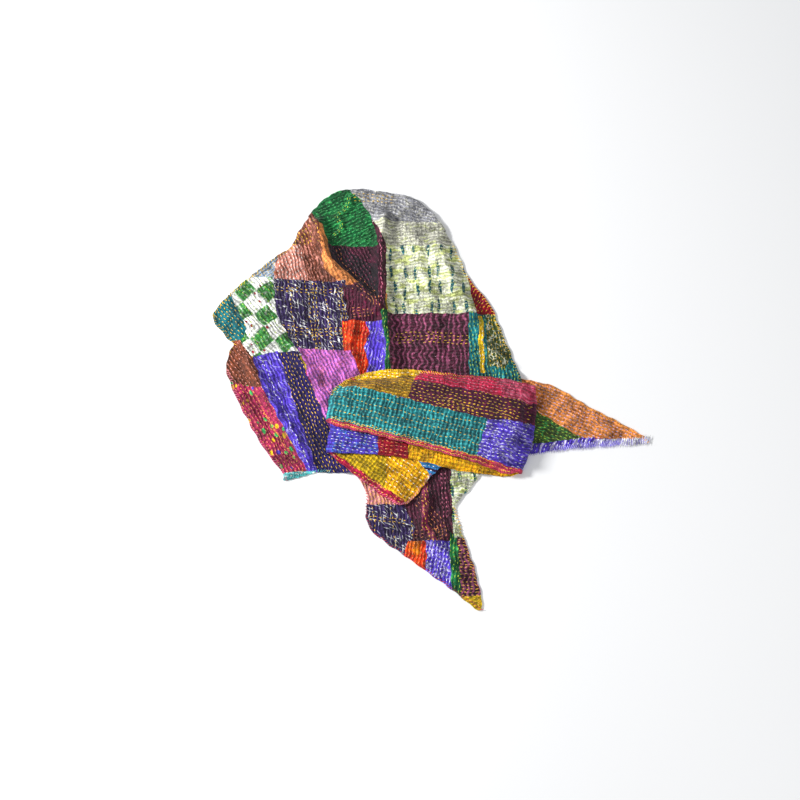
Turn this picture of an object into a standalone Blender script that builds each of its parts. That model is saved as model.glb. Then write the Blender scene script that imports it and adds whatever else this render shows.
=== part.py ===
"""Quilted patchwork throw that lies folded on a surface, as one sheet with four folds.

Plan positions are in centimetres, x to the right and y away from the viewer, z up from the surface.
"""
import math

import bpy
import numpy as np
from mathutils import geometry

# Driving dimensions in metres
CM = 0.01
CLOTH = 0.003
OVER_BACK = 0.0065
OVER_UPPER = 0.0070
OVER_THIRD = 0.0090
OVER_SECOND = 0.0150
FLOOR_CLEAR = 0.0002

# How far past a layer's rim the cloth above it still hangs clear, and where it is fully carried
DROOP_OUT = 0.020
DROOP_IN = 0.002

# Spacing of the surface points, and of the steps round a fold
RIM_STEP = 0.020
RIDGE_STEP = 0.017
RIDGE_ROWS = (0.0, -0.7, 0.7, -1.5, 1.5)
RIDGE_REACH = 1.9
POINT_GAP = 0.0065
FOLD_STEPS = 4
EDGE_MARGIN = 0.55

# Gentle unevenness of the quilted cloth
SWELL_HEIGHT = 0.0025
SWELL_LENGTH = 0.085
RUFFLE_HEIGHT = 0.0030
RUFFLE_LENGTH = 0.042
RUFFLE_DEPTH = 0.030

# Fold lines, each with the points that it passes through
FOLDS = {
    "top": [(-30.5, 46.8), (-26.3, 51.6), (-21.3, 53.8), (-15.0, 53.8), (-5.0, 51.8), (0.0, 48.2),
            (3.8, 43.0)],
    "inner right": [(22.8, 0.2), (21.2, -7.8), (19.5, -15.8)],
    "inner left": [(-25.3, -14.8), (-24.2, -8.0), (-23.0, -1.3)],
    "bundle end": [(21.8, -19.6), (24.6, -11.5), (25.6, -3.0), (25.5, 2.3)],
}

# Free edges of the back layer: right side, corner, hem, tail and left side
BACK_EDGE = [
    (2.6, 38.0), (5.5, 29.3), (10.0, 21.8), (13.8, 13.0), (18.8, 6.2), (25.0, 4.2), (31.3, 2.5), (40.0, -2.8),
    (47.5, -6.8), (54.5, -11.5), (47.5, -12.2), (41.0, -12.6), (30.0, -13.8), (20.0, -15.8), (13.8, -18.8),
    (10.0, -23.3), (6.3, -28.5), (8.6, -37.0), (11.0, -44.5), (12.3, -53.8), (5.0, -48.6), (-5.0, -41.3),
    (-13.8, -34.8), (-15.8, -30.8), (-16.0, -24.0), (-21.3, -17.5), (-30.0, -14.5), (-36.3, -8.3),
    (-42.0, 0.5),
    (-45.8, 9.3), (-47.8, 18.0), (-44.5, 25.5), (-37.5, 33.8), (-32.8, 40.0),
]

# Free edges of the upper layer, from the fold at the right round the hem to the left hip
UPPER_RIGHT = [(6.3, 39.3), (10.0, 30.8), (15.0, 24.3), (17.6, 18.0), (20.0, 11.8), (22.0, 6.7), (23.2, 3.0)]
UPPER_HEM = [
    (17.5, -17.2), (5.0, -16.6), (-7.5, -17.8), (-20.0, -19.4), (-25.0, -19.4), (-29.3, -19.6),
    (-35.8, -21.4),
    (-36.6, -19.6), (-41.3, -13.3), (-45.0, -7.0), (-48.8, 0.5), (-51.0, 6.8), (-50.3, 11.8), (-49.4, 13.6),
    (-51.3, 15.6), (-54.5, 19.8), (-54.2, 22.3), (-50.5, 26.8), (-44.3, 32.3), (-39.5, 36.3), (-35.0, 39.3),
    (-33.3, 43.0),
]

# Free edges of the three layers in the bundle
THIRD_HEM = [(12.0, -16.4), (4.3, -17.4), (0.3, -20.4), (-6.8, -27.7), (-16.3, -22.0)]
THIRD_BACK = [(-12.5, 1.2), (5.0, 1.8), (18.8, 1.3)]
SECOND_BACK = [(-17.5, 1.4), (-2.5, 3.2), (12.5, 3.3)]
SECOND_HEM = [(18.8, -20.4), (7.5, -19.1), (-5.3, -16.4), (-13.0, -15.4)]
TOP_BACK = [(16.0, 4.3), (7.0, 5.2), (-1.0, 6.3), (-10.0, 6.6), (-18.0, 5.1), (-22.8, 2.7), (-24.8, 0.2)]
TOP_HEM = [(-25.2, -3.8), (-24.8, -7.8), (-12.5, -11.0), (0.0, -14.4), (12.5, -18.0), (18.8, -20.0)]

# Each layer: its name, grid spacing in metres, and its rim as runs of folds (with direction) and edges
LAYERS = [
    ("back", 0.045, [("fold", "top", 1), ("edge", BACK_EDGE)]),
    ("upper", 0.029, [("fold", "top", 1), ("edge", UPPER_RIGHT), ("fold", "inner right", 1),
                      ("edge", UPPER_HEM)]),
    ("third", 0.032, [("fold", "inner right", 1), ("edge", THIRD_HEM), ("fold", "inner left", 1),
                      ("edge", THIRD_BACK)]),
    ("second", 0.030, [("fold", "inner left", 1), ("edge", SECOND_BACK), ("fold", "bundle end", -1),
                       ("edge", SECOND_HEM)]),
    ("top", 0.022, [("fold", "bundle end", 1), ("edge", TOP_BACK + TOP_HEM)]),
]

# Which two layers each fold joins, the lower one first
JOINS = [("top", "back", "upper"), ("inner right", "upper", "third"), ("inner left", "third", "second"),
         ("bundle end", "second", "top")]

# Raised folds: the layer, the height and the half width in centimetres, and the crest's points
RIDGES = [
    ("upper", 3.0, 1.7, [(-28.5, 44.5), (-27.3, 39.5), (-25.5, 34.8), (-21.3, 30.0), (-16.0, 26.0),
                         (-12.5, 22.6)]),
    ("upper", 2.6, 1.4, [(-11.5, 46.5), (-12.5, 36.8), (-12.3, 26.8), (-11.0, 17.0), (-9.8, 9.0)]),
    ("upper", 1.6, 1.6, [(-50.5, 20.0), (-43.0, 17.5), (-36.0, 13.0), (-31.5, 7.5)]),
    ("upper", 1.7, 1.5, [(-45.5, 8.5), (-41.5, 1.0), (-35.5, -8.0), (-30.5, -16.5)]),
    ("upper", 1.2, 1.1, [(-19.0, 19.0), (-20.0, 13.0), (-18.5, 7.0)]),
    ("upper", 1.6, 1.8, [(1.5, 40.0), (7.0, 28.0), (12.5, 17.0), (17.5, 8.5)]),
    ("upper", 1.1, 1.3, [(-33.0, 11.5), (-28.5, 3.0), (-25.5, -6.0)]),
    ("upper", 1.0, 1.6, [(-44.5, 29.0), (-38.0, 24.5), (-33.0, 19.5)]),
    ("upper", 0.9, 1.6, [(-3.5, 36.0), (-0.5, 26.0), (1.0, 13.0)]),
    ("back", 1.4, 1.3, [(-1.0, -25.0), (-1.5, -33.0), (3.5, -40.5), (6.8, -46.0)]),
    ("back", 1.1, 1.5, [(29.0, -2.5), (37.0, -6.5), (44.0, -9.0)]),
    ("top", 0.8, 1.6, [(-19.0, 1.0), (-6.0, -1.0), (8.0, -4.5), (19.0, -7.5)]),
    ("top", 0.6, 1.4, [(-20.0, -5.5), (-8.0, -8.0), (5.0, -11.5), (17.0, -15.0)]),
]


def curve(points, step):
    """Points about one step apart, on a smooth curve through the given ones."""
    through = np.array(points, float) * CM
    padded = np.vstack([2 * through[0] - through[1], through, 2 * through[-1] - through[-2]])
    found = []
    for i in range(1, len(padded) - 2):
        a, b, c, d = padded[i - 1:i + 3]
        count = max(1, round(float(np.linalg.norm(c - b)) / step))
        for t in np.arange(count) / count:
            bend = (2 * b) + (c - a) * t
            bend = bend + (2 * a - 5 * b + 4 * c - d) * t ** 2
            bend = bend + (3 * b - a - 3 * c + d) * t ** 3
            found.append(bend / 2)
    found.append(through[-1])
    return np.array(found)


def rim_of(runs, step):
    """The layer's closed rim, and the rim numbers of the points on each of its folds."""
    starts = [FOLDS[run[1]][::run[2]] if run[0] == "fold" else None for run in runs]
    rim = []
    on_fold = {}
    for i, run in enumerate(runs):
        if run[0] == "fold":
            points = curve(FOLDS[run[1]], step)[::run[2]]
            numbers = list(range(len(rim), len(rim) + len(points)))
            on_fold[run[1]] = numbers[::run[2]]
            rim.extend(points)
        else:
            before = starts[i - 1][-1]
            after = starts[(i + 1) % len(runs)][0]
            rim.extend(curve([before] + run[1] + [after], step)[1:-1])
    return np.array(rim), on_fold


def distance(places, line, closed=False):
    """Distance from each place to the nearest point of a line."""
    nearest = np.full(len(places), np.inf)
    ends = np.roll(line, -1, axis=0) if closed else line[1:]
    for a, b in zip(line, ends):
        along = b - a
        share = np.clip((places - a) @ along / max(float(along @ along), 1e-12), 0, 1)
        nearest = np.minimum(nearest, np.linalg.norm(places - a - share[:, None] * along, axis=1))
    return nearest


def inside(places, rim):
    """Whether each place lies within the rim."""
    result = np.zeros(len(places), bool)
    for a, b in zip(rim, np.roll(rim, -1, axis=0)):
        if a[1] == b[1]:
            continue
        spans = (a[1] > places[:, 1]) != (b[1] > places[:, 1])
        crossing = a[0] + (places[:, 1] - a[1]) * (b[0] - a[0]) / (b[1] - a[1])
        result ^= spans & (places[:, 0] < crossing)
    return result


def smooth(share):
    share = np.clip(share, 0, 1)
    return share * share * (3 - 2 * share)


def carried(places, rim):
    """1 over a layer, and 0 where the cloth above has come down past its rim."""
    away = distance(places, rim, closed=True)
    signed = np.where(inside(places, rim), away, -away)
    return smooth((signed + DROOP_OUT) / (DROOP_OUT - DROOP_IN))


def ridges(places, layer):
    """Height of the raised folds of one layer."""
    rise = np.zeros(len(places))
    for name, height, width, crest in RIDGES:
        if name == layer:
            off = distance(places, curve(crest, RIDGE_STEP))
            rise = np.maximum(rise, height * CM * np.exp(-(off / (width * CM)) ** 2))
    return rise


def swell(places):
    """Slow rise and fall of quilted cloth, never below zero."""
    x, y = (places / SWELL_LENGTH * 2 * math.pi).T
    return SWELL_HEIGHT * (2 + np.sin(x + 0.7 * np.sin(y)) + np.sin(0.8 * y - 0.5 * x)) / 4


def ruffle(places):
    """Waves along the back edge of the bundle's top layer."""
    off = distance(places, curve(TOP_BACK, 2 * RIM_STEP))
    wave = 1 + np.sin(places[:, 0] * 2 * math.pi / RUFFLE_LENGTH)
    return RUFFLE_HEIGHT * wave / 2 * np.exp(-(off / RUFFLE_DEPTH) ** 2)


def height(places, layer, rims):
    """Height of a layer's middle: each layer lies on the one under it."""
    back = CLOTH / 2 + ridges(places, "back")
    if layer == "back":
        return back
    on_back = carried(places, rims["back"])
    upper = back + FLOOR_CLEAR + OVER_BACK * on_back + ridges(places, "upper") + swell(places) * on_back
    if layer == "upper":
        return upper
    third = upper + OVER_UPPER * carried(places, rims["upper"])
    if layer == "third":
        return third
    second = third + OVER_THIRD * carried(places, rims["third"])
    if layer == "second":
        return second
    return second + OVER_SECOND * carried(places, rims["second"]) + ridges(places, "top") + ruffle(places)


def grid(rim, spacing):
    """Points of a triangular grid that lie well inside the rim."""
    low = rim.min(axis=0)
    high = rim.max(axis=0)
    row_gap = spacing * math.sqrt(3) / 2
    found = []
    for row, y in enumerate(np.arange(low[1], high[1], row_gap)):
        for x in np.arange(low[0] + (row % 2) * spacing / 2, high[0], spacing):
            found.append((x, y))
    found = np.array(found)
    found = found[inside(found, rim)]
    return found[distance(found, rim, closed=True) > EDGE_MARGIN * min(spacing, RIM_STEP)]


def ridge_points(layer, rim):
    """Rows of points along each raised fold, at its crest and down both flanks."""
    kept = []
    for name, _, width, crest in RIDGES:
        if name != layer:
            continue
        line = curve(crest, RIDGE_STEP)
        along = np.gradient(line, axis=0)
        across = np.stack([-along[:, 1], along[:, 0]], axis=1)
        across /= np.linalg.norm(across, axis=1)[:, None]
        for share in RIDGE_ROWS:
            for place in line + share * width * CM * across:
                if all(np.linalg.norm(place - other) > POINT_GAP for other in kept):
                    kept.append(place)
    if not kept:
        return np.empty((0, 2))
    found = np.array(kept)
    found = found[inside(found, rim)]
    return found[distance(found, rim, closed=True) > POINT_GAP]


def away_from_ridges(places, layer):
    """The places that lie beyond the flanks of every raised fold."""
    clear = np.ones(len(places), bool)
    for name, _, width, crest in RIDGES:
        if name == layer:
            clear &= distance(places, curve(crest, RIDGE_STEP)) > RIDGE_REACH * width * CM
    return places[clear]


def layer_mesh(name, spacing, rim):
    """Plan points and triangles of one layer, with the rim's points first."""
    places = np.vstack([rim, away_from_ridges(grid(rim, spacing), name), ridge_points(name, rim)])
    loop = [(i, (i + 1) % len(rim)) for i in range(len(rim))]
    made = geometry.delaunay_2d_cdt([tuple(p) for p in places], loop, [], 1, 1e-7)
    plan = np.array([tuple(v) for v in made[0]])
    number = {source: i for i, sources in enumerate(made[3]) for source in sources}
    return plan, [tuple(face) for face in made[2]], number


def outward(points, rim):
    """Level directions that point out of the layer along a fold."""
    along = np.gradient(points, axis=0)
    across = np.stack([along[:, 1], -along[:, 0]], axis=1)
    across /= np.linalg.norm(across, axis=1)[:, None]
    middle = len(points) // 2
    probe = points[middle:middle + 1] + across[middle:middle + 1] * RIM_STEP / 4
    return -across if inside(probe, rim)[0] else across


def sheet():
    """The whole cloth's middle surface, as points and faces."""
    rims = {}
    folds = {}
    for name, _, runs in LAYERS:
        rims[name], folds[name] = rim_of(runs, RIM_STEP)
    points = []
    faces = []
    first = {}
    for name, spacing, _ in LAYERS:
        plan, triangles, number = layer_mesh(name, spacing, rims[name])
        first[name] = {i: len(points) + number[i] for i in range(len(rims[name]))}
        faces.extend(tuple(len(points) + i for i in face) for face in triangles)
        points.extend(np.column_stack([plan, height(plan, name, rims)]))
    for fold, lower, upper in JOINS:
        low_row = [first[lower][i] for i in folds[lower][fold]]
        high_row = [first[upper][i] for i in folds[upper][fold]]
        plan = rims[lower][folds[lower][fold]]
        out = outward(plan, rims[lower])
        rows = [low_row]
        for k in range(1, FOLD_STEPS):
            turn = math.pi * k / FOLD_STEPS
            row = []
            for i, (a, b) in enumerate(zip(low_row, high_row)):
                low, high = points[a][2], points[b][2]
                radius = (high - low) / 2
                place = plan[i] + out[i] * radius * math.sin(turn)
                row.append(len(points))
                points.append(np.array([place[0], place[1], low + radius * (1 - math.cos(turn))]))
            rows.append(row)
        rows.append(high_row)
        for one, two in zip(rows, rows[1:]):
            for i in range(len(one) - 1):
                faces.append((one[i], one[i + 1], two[i + 1], two[i]))
    return np.array(points), faces


def build_throw():
    """One closed cloth, centred over its own footprint."""
    points, faces = sheet()
    mesh = bpy.data.meshes.new("quilted_throw")
    mesh.from_pydata([tuple(p) for p in points], [], faces)
    throw = bpy.data.objects.new("quilted_throw", mesh)
    bpy.context.collection.objects.link(throw)
    bpy.context.view_layer.objects.active = throw
    throw.select_set(True)
    bpy.ops.object.mode_set(mode="EDIT")
    bpy.ops.mesh.select_all(action="SELECT")
    bpy.ops.mesh.normals_make_consistent(inside=False)
    bpy.ops.object.mode_set(mode="OBJECT")
    thick = throw.modifiers.new("cloth", "SOLIDIFY")
    thick.thickness = CLOTH
    thick.offset = 0.0
    bpy.ops.object.modifier_apply(modifier="cloth")
    spots = np.array([v.co[:] for v in mesh.vertices])
    centre = (spots.min(axis=0) + spots.max(axis=0)) / 2
    for vertex in mesh.vertices:
        vertex.co.x -= centre[0]
        vertex.co.y -= centre[1]
    mesh.shade_smooth()
    mesh.set_sharp_from_angle(angle=math.radians(50))
    return throw


def cloth_material():
    """Matt woven cloth, in the throw's overall wine colour."""
    material = bpy.data.materials.new("quilted_cloth")
    material.use_nodes = True
    shader = material.node_tree.nodes["Principled BSDF"]
    shader.inputs["Base Color"].default_value = (0.30, 0.07, 0.16, 1.0)
    shader.inputs["Roughness"].default_value = 0.85
    shader.inputs["Metallic"].default_value = 0.0
    return material


for old in list(bpy.data.objects):
    bpy.data.objects.remove(old, do_unlink=True)
build_throw().data.materials.append(cloth_material())
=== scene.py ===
# %% [markdown]
# # A quilted patchwork throw
# The real throw is old printed cloth, pieced into patches and sewn through all its layers with
# hundreds of rows of running stitch. It lies folded, as one sheet with four folds. The frame
# holds its plain solid, and this lesson dresses it: a fine sheet in the same folds, with its
# patches, stitches, crinkles and hems.

# %% Load the frame
import math
import random

import bpy
import numpy as np
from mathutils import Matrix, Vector, geometry


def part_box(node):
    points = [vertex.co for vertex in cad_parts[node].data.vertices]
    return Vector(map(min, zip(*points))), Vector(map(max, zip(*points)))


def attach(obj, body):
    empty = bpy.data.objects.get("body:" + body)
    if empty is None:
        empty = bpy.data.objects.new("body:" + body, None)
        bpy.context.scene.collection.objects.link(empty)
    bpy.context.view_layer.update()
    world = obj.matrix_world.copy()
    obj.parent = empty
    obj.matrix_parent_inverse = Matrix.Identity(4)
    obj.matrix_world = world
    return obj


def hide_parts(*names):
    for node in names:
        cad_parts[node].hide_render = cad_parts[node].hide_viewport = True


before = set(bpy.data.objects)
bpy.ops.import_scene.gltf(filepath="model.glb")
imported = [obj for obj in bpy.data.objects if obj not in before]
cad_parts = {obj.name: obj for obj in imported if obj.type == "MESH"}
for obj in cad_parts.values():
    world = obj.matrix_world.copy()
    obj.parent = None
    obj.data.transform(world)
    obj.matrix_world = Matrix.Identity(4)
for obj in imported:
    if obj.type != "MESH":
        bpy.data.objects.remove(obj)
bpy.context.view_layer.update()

random.seed(7)

# %% [markdown]
# ## Sizes of the folded cloth
# A folded sheet is easiest to describe from above. Each layer has a rim, seen as a plan in
# centimetres, and two layers that meet at a fold share that stretch of rim. The heights are not
# listed: each layer simply lies on the one under it, so a few clearances give them all.

# %% Heights and spacings in metres
CM = 0.01
CLOTH = 0.003
OVER_BACK = 0.0065
OVER_UPPER = 0.0070
OVER_THIRD = 0.0090
OVER_SECOND = 0.0150
FLOOR_CLEAR = 0.0002
DROOP_OUT = 0.020
DROOP_IN = 0.002
SWELL_HEIGHT = 0.0025
SWELL_LENGTH = 0.085
RUFFLE_HEIGHT = 0.0030
RUFFLE_LENGTH = 0.042
RUFFLE_DEPTH = 0.030
FINE = 0.0045
HIDDEN = 0.016
FOLD_STEPS = 8

# %% Fold lines and free edges in centimetres
FOLDS = {
    "top": [(-30.5, 46.8), (-26.3, 51.6), (-21.3, 53.8), (-15.0, 53.8), (-5.0, 51.8), (0.0, 48.2),
            (3.8, 43.0)],
    "inner right": [(22.8, 0.2), (21.2, -7.8), (19.5, -15.8)],
    "inner left": [(-25.3, -14.8), (-24.2, -8.0), (-23.0, -1.3)],
    "bundle end": [(21.8, -19.6), (24.6, -11.5), (25.6, -3.0), (25.5, 2.3)],
}
BACK_EDGE = [
    (2.6, 38.0), (5.5, 29.3), (10.0, 21.8), (13.8, 13.0), (18.8, 6.2), (25.0, 4.2), (31.3, 2.5), (40.0, -2.8),
    (47.5, -6.8), (54.5, -11.5), (47.5, -12.2), (41.0, -12.6), (30.0, -13.8), (20.0, -15.8), (13.8, -18.8),
    (10.0, -23.3), (6.3, -28.5), (8.6, -37.0), (11.0, -44.5), (12.3, -53.8), (5.0, -48.6), (-5.0, -41.3),
    (-13.8, -34.8), (-15.8, -30.8), (-16.0, -24.0), (-21.3, -17.5), (-30.0, -14.5), (-36.3, -8.3),
    (-42.0, 0.5), (-45.8, 9.3), (-47.8, 18.0), (-44.5, 25.5), (-37.5, 33.8), (-32.8, 40.0),
]
UPPER_RIGHT = [(6.3, 39.3), (10.0, 30.8), (15.0, 24.3), (17.6, 18.0), (20.0, 11.8), (22.0, 6.7), (23.2, 3.0)]
UPPER_HEM = [
    (17.5, -17.2), (5.0, -16.6), (-7.5, -17.8), (-20.0, -19.4), (-25.0, -19.4), (-29.3, -19.6),
    (-35.8, -21.4), (-36.6, -19.6), (-41.3, -13.3), (-45.0, -7.0), (-48.8, 0.5), (-51.0, 6.8),
    (-50.3, 11.8), (-49.4, 13.6),
    (-51.3, 15.6), (-54.5, 19.8), (-54.2, 22.3), (-50.5, 26.8), (-44.3, 32.3), (-39.5, 36.3), (-35.0, 39.3),
    (-33.3, 43.0),
]
THIRD_HEM = [(12.0, -16.4), (4.3, -17.4), (0.3, -20.4), (-6.8, -27.7), (-16.3, -22.0)]
THIRD_BACK = [(-12.5, 1.2), (5.0, 1.8), (18.8, 1.3)]
SECOND_BACK = [(-17.5, 1.4), (-2.5, 3.2), (12.5, 3.3)]
SECOND_HEM = [(18.8, -20.4), (7.5, -19.1), (-5.3, -16.4), (-13.0, -15.4)]
TOP_BACK = [(16.0, 4.3), (7.0, 5.2), (-1.0, 6.3), (-10.0, 6.6), (-18.0, 5.1), (-22.8, 2.7), (-24.8, 0.2)]
TOP_HEM = [(-25.2, -3.8), (-24.8, -7.8), (-12.5, -11.0), (0.0, -14.4), (12.5, -18.0), (18.8, -20.0)]

LAYERS = [
    ("back", [("fold", "top", 1), ("edge", BACK_EDGE)]),
    ("upper", [("fold", "top", 1), ("edge", UPPER_RIGHT), ("fold", "inner right", 1), ("edge", UPPER_HEM)]),
    ("third", [("fold", "inner right", 1), ("edge", THIRD_HEM), ("fold", "inner left", 1),
               ("edge", THIRD_BACK)]),
    ("second", [("fold", "inner left", 1), ("edge", SECOND_BACK), ("fold", "bundle end", -1),
                ("edge", SECOND_HEM)]),
    ("top", [("fold", "bundle end", 1), ("edge", TOP_BACK + TOP_HEM)]),
]
JOINS = [("top", "back", "upper"), ("inner right", "upper", "third"), ("inner left", "third", "second"),
         ("bundle end", "second", "top")]
print("layers", [name for name, _ in LAYERS])

# %% Raised folds: layer, height and half width in centimetres, and the crest
RIDGES = [
    ("upper", 3.0, 1.7, [(-28.5, 44.5), (-27.3, 39.5), (-25.5, 34.8), (-21.3, 30.0), (-16.0, 26.0),
                         (-12.5, 22.6)]),
    ("upper", 2.6, 1.4, [(-11.5, 46.5), (-12.5, 36.8), (-12.3, 26.8), (-11.0, 17.0), (-9.8, 9.0)]),
    ("upper", 1.6, 1.6, [(-50.5, 20.0), (-43.0, 17.5), (-36.0, 13.0), (-31.5, 7.5)]),
    ("upper", 1.7, 1.5, [(-45.5, 8.5), (-41.5, 1.0), (-35.5, -8.0), (-30.5, -16.5)]),
    ("upper", 1.2, 1.1, [(-19.0, 19.0), (-20.0, 13.0), (-18.5, 7.0)]),
    ("upper", 1.6, 1.8, [(1.5, 40.0), (7.0, 28.0), (12.5, 17.0), (17.5, 8.5)]),
    ("upper", 1.1, 1.3, [(-33.0, 11.5), (-28.5, 3.0), (-25.5, -6.0)]),
    ("upper", 1.0, 1.6, [(-44.5, 29.0), (-38.0, 24.5), (-33.0, 19.5)]),
    ("upper", 0.9, 1.6, [(-3.5, 36.0), (-0.5, 26.0), (1.0, 13.0)]),
    ("back", 1.4, 1.3, [(-1.0, -25.0), (-1.5, -33.0), (3.5, -40.5), (6.8, -46.0)]),
    ("back", 1.1, 1.5, [(29.0, -2.5), (37.0, -6.5), (44.0, -9.0)]),
    ("top", 0.8, 1.6, [(-19.0, 1.0), (-6.0, -1.0), (8.0, -4.5), (19.0, -7.5)]),
    ("top", 0.6, 1.4, [(-20.0, -5.5), (-8.0, -8.0), (5.0, -11.5), (17.0, -15.0)]),
]

# Finer creases that only the dressed sheet has, in the same columns
CREASES = [
    ("upper", 0.30, 0.7, [(-38.0, 34.0), (-33.0, 27.0), (-31.5, 18.0)]),
    ("upper", 0.35, 0.7, [(-46.0, 27.0), (-39.0, 22.5), (-33.0, 17.0)]),
    ("upper", 0.35, 0.8, [(-4.0, 45.0), (-2.0, 34.0), (1.5, 23.0), (3.0, 11.0)]),
    ("upper", 0.30, 0.7, [(-8.0, 20.0), (0.0, 17.5), (9.0, 16.5)]),
    ("upper", 0.30, 0.6, [(-8.0, 13.5), (2.0, 11.5), (11.0, 12.0)]),
    ("upper", 0.70, 0.7, [(-20.0, 52.0), (-20.8, 49.0), (-23.3, 46.6), (-21.9, 44.2), (-24.6, 41.0)]),
    ("upper", 0.40, 0.8, [(-38.5, 8.0), (-34.0, -2.0), (-28.5, -13.0)]),
    ("upper", 0.30, 0.6, [(-48.0, 3.0), (-43.0, -6.0), (-36.5, -16.0)]),
    ("upper", 0.30, 0.7, [(-29.0, 12.0), (-23.0, 9.0), (-20.5, 1.0)]),
    ("top", 0.28, 0.8, [(-23.5, -2.5), (-12.0, -4.5), (2.0, -8.5), (16.0, -11.5)]),
    ("top", 0.25, 0.7, [(-3.0, 5.0), (8.0, 1.5), (20.0, -1.0)]),
    ("top", 0.30, 0.6, [(22.5, 1.0), (22.0, -7.0), (19.0, -16.0)]),
    ("back", 0.35, 0.7, [(-12.0, -26.0), (-9.5, -33.0), (-3.0, -39.5)]),
    ("back", 0.30, 0.6, [(8.0, -24.0), (4.5, -30.0), (7.5, -38.0), (10.5, -47.0)]),
    ("back", 0.30, 0.6, [(27.0, 1.5), (35.0, -3.0), (45.0, -8.0)]),
    ("upper", 0.70, 0.8, [(-21.5, 20.3), (-16.0, 20.5), (-12.8, 22.6), (-13.0, 25.5)]),
    ("upper", 0.45, 0.8, [(-22.5, 26.5), (-18.5, 25.0), (-15.0, 23.4)]),
    ("back", 0.70, 0.8, [(-4.8, -37.2), (2.4, -36.6), (4.3, -33.6), (1.8, -29.6)]),
    ("third", 0.25, 0.7, [(-21.0, -16.0), (-14.0, -20.0), (-8.0, -25.0)]),
]
print(len(RIDGES), "raised folds and", len(CREASES), "creases")

# %% [markdown]
# ## Where the cloth is
# These helpers turn the tables into points: a smooth curve through a few points, the rim of a
# layer, whether a place is inside a rim, and how high each layer is there. The cloth could be
# draped by simulation, but a throw that was folded by hand keeps the folds it was given, so
# placing them is nearer to the real thing.


# %% Curves and rims
def curve(points, step):
    """Points about one step apart, on a smooth curve through the given ones."""
    through = np.array(points, float) * CM
    padded = np.vstack([2 * through[0] - through[1], through, 2 * through[-1] - through[-2]])
    found = []
    for i in range(1, len(padded) - 2):
        a, b, c, d = padded[i - 1:i + 3]
        count = max(1, round(float(np.linalg.norm(c - b)) / step))
        for t in np.arange(count) / count:
            bend = (2 * b) + (c - a) * t
            bend = bend + (2 * a - 5 * b + 4 * c - d) * t ** 2
            bend = bend + (3 * b - a - 3 * c + d) * t ** 3
            found.append(bend / 2)
    found.append(through[-1])
    return np.array(found)


def rim_of(runs, step):
    """The layer's closed rim, and the rim numbers of the points on each of its folds."""
    starts = [FOLDS[run[1]][::run[2]] if run[0] == "fold" else None for run in runs]
    rim = []
    on_fold = {}
    for i, run in enumerate(runs):
        if run[0] == "fold":
            points = curve(FOLDS[run[1]], step)[::run[2]]
            numbers = list(range(len(rim), len(rim) + len(points)))
            on_fold[run[1]] = numbers[::run[2]]
            rim.extend(points)
        else:
            before = starts[i - 1][-1]
            after = starts[(i + 1) % len(runs)][0]
            rim.extend(curve([before] + run[1] + [after], step)[1:-1])
    return np.array(rim), on_fold


def distance(places, line, closed=False):
    """Distance from each place to the nearest point of a line."""
    nearest = np.full(len(places), np.inf)
    ends = np.roll(line, -1, axis=0) if closed else line[1:]
    for a, b in zip(line, ends):
        along = b - a
        share = np.clip((places - a) @ along / max(float(along @ along), 1e-12), 0, 1)
        nearest = np.minimum(nearest, np.linalg.norm(places - a - share[:, None] * along, axis=1))
    return nearest


def inside(places, rim):
    """Whether each place lies within the rim."""
    result = np.zeros(len(places), bool)
    for a, b in zip(rim, np.roll(rim, -1, axis=0)):
        if a[1] == b[1]:
            continue
        spans = (a[1] > places[:, 1]) != (b[1] > places[:, 1])
        crossing = a[0] + (places[:, 1] - a[1]) * (b[0] - a[0]) / (b[1] - a[1])
        result ^= spans & (places[:, 0] < crossing)
    return result


def depth_in(places, rim):
    """Distance from each place into the rim, below zero outside it."""
    away = distance(places, rim, closed=True)
    return np.where(inside(places, rim), away, -away)


def ways(turn):
    """Level directions along a turn in degrees, and across it."""
    way = np.array([math.cos(math.radians(turn)), math.sin(math.radians(turn))])
    return way, np.array([-way[1], way[0]])


COARSE_RIM = 0.020
coarse_rims = {name: rim_of(runs, COARSE_RIM)[0] for name, runs in LAYERS}
print({name: len(rim) for name, rim in coarse_rims.items()}, "rim points")


# %% Heights
def smooth(share):
    share = np.clip(share, 0, 1)
    return share * share * (3 - 2 * share)


def carried(places, layer):
    """1 over a layer, and 0 where the cloth above has come down past its rim."""
    return smooth((depth_in(places, coarse_rims[layer]) + DROOP_OUT) / (DROOP_OUT - DROOP_IN))


def raised(places, layer, table):
    """Height of the folds or creases that a table gives one layer."""
    rise = np.zeros(len(places))
    for name, height, width, crest in table:
        if name == layer:
            off = distance(places, curve(crest, COARSE_RIM))
            rise = np.maximum(rise, height * CM * np.exp(-(off / (width * CM)) ** 2))
    return rise


def swell(places):
    """Slow rise and fall of quilted cloth, never below zero."""
    x, y = (places / SWELL_LENGTH * 2 * math.pi).T
    return SWELL_HEIGHT * (2 + np.sin(x + 0.7 * np.sin(y)) + np.sin(0.8 * y - 0.5 * x)) / 4


def ruffle(places):
    """Waves along the back edge of the bundle's top layer."""
    off = distance(places, curve(TOP_BACK, COARSE_RIM))
    wave = 1 + np.sin(places[:, 0] * 2 * math.pi / RUFFLE_LENGTH)
    return RUFFLE_HEIGHT * wave / 2 * np.exp(-(off / RUFFLE_DEPTH) ** 2)


CRINKLE_HEIGHT = 0.0021
CRINKLE_BEND = 1.7
CRINKLE_LIMIT = 0.6
CRINKLE_WAVES = [(0.021, 20, 1.0), (0.027, 75, 0.8), (0.017, 130, 0.7), (0.034, 160, 0.9), (0.014, 50, 0.5)]


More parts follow.
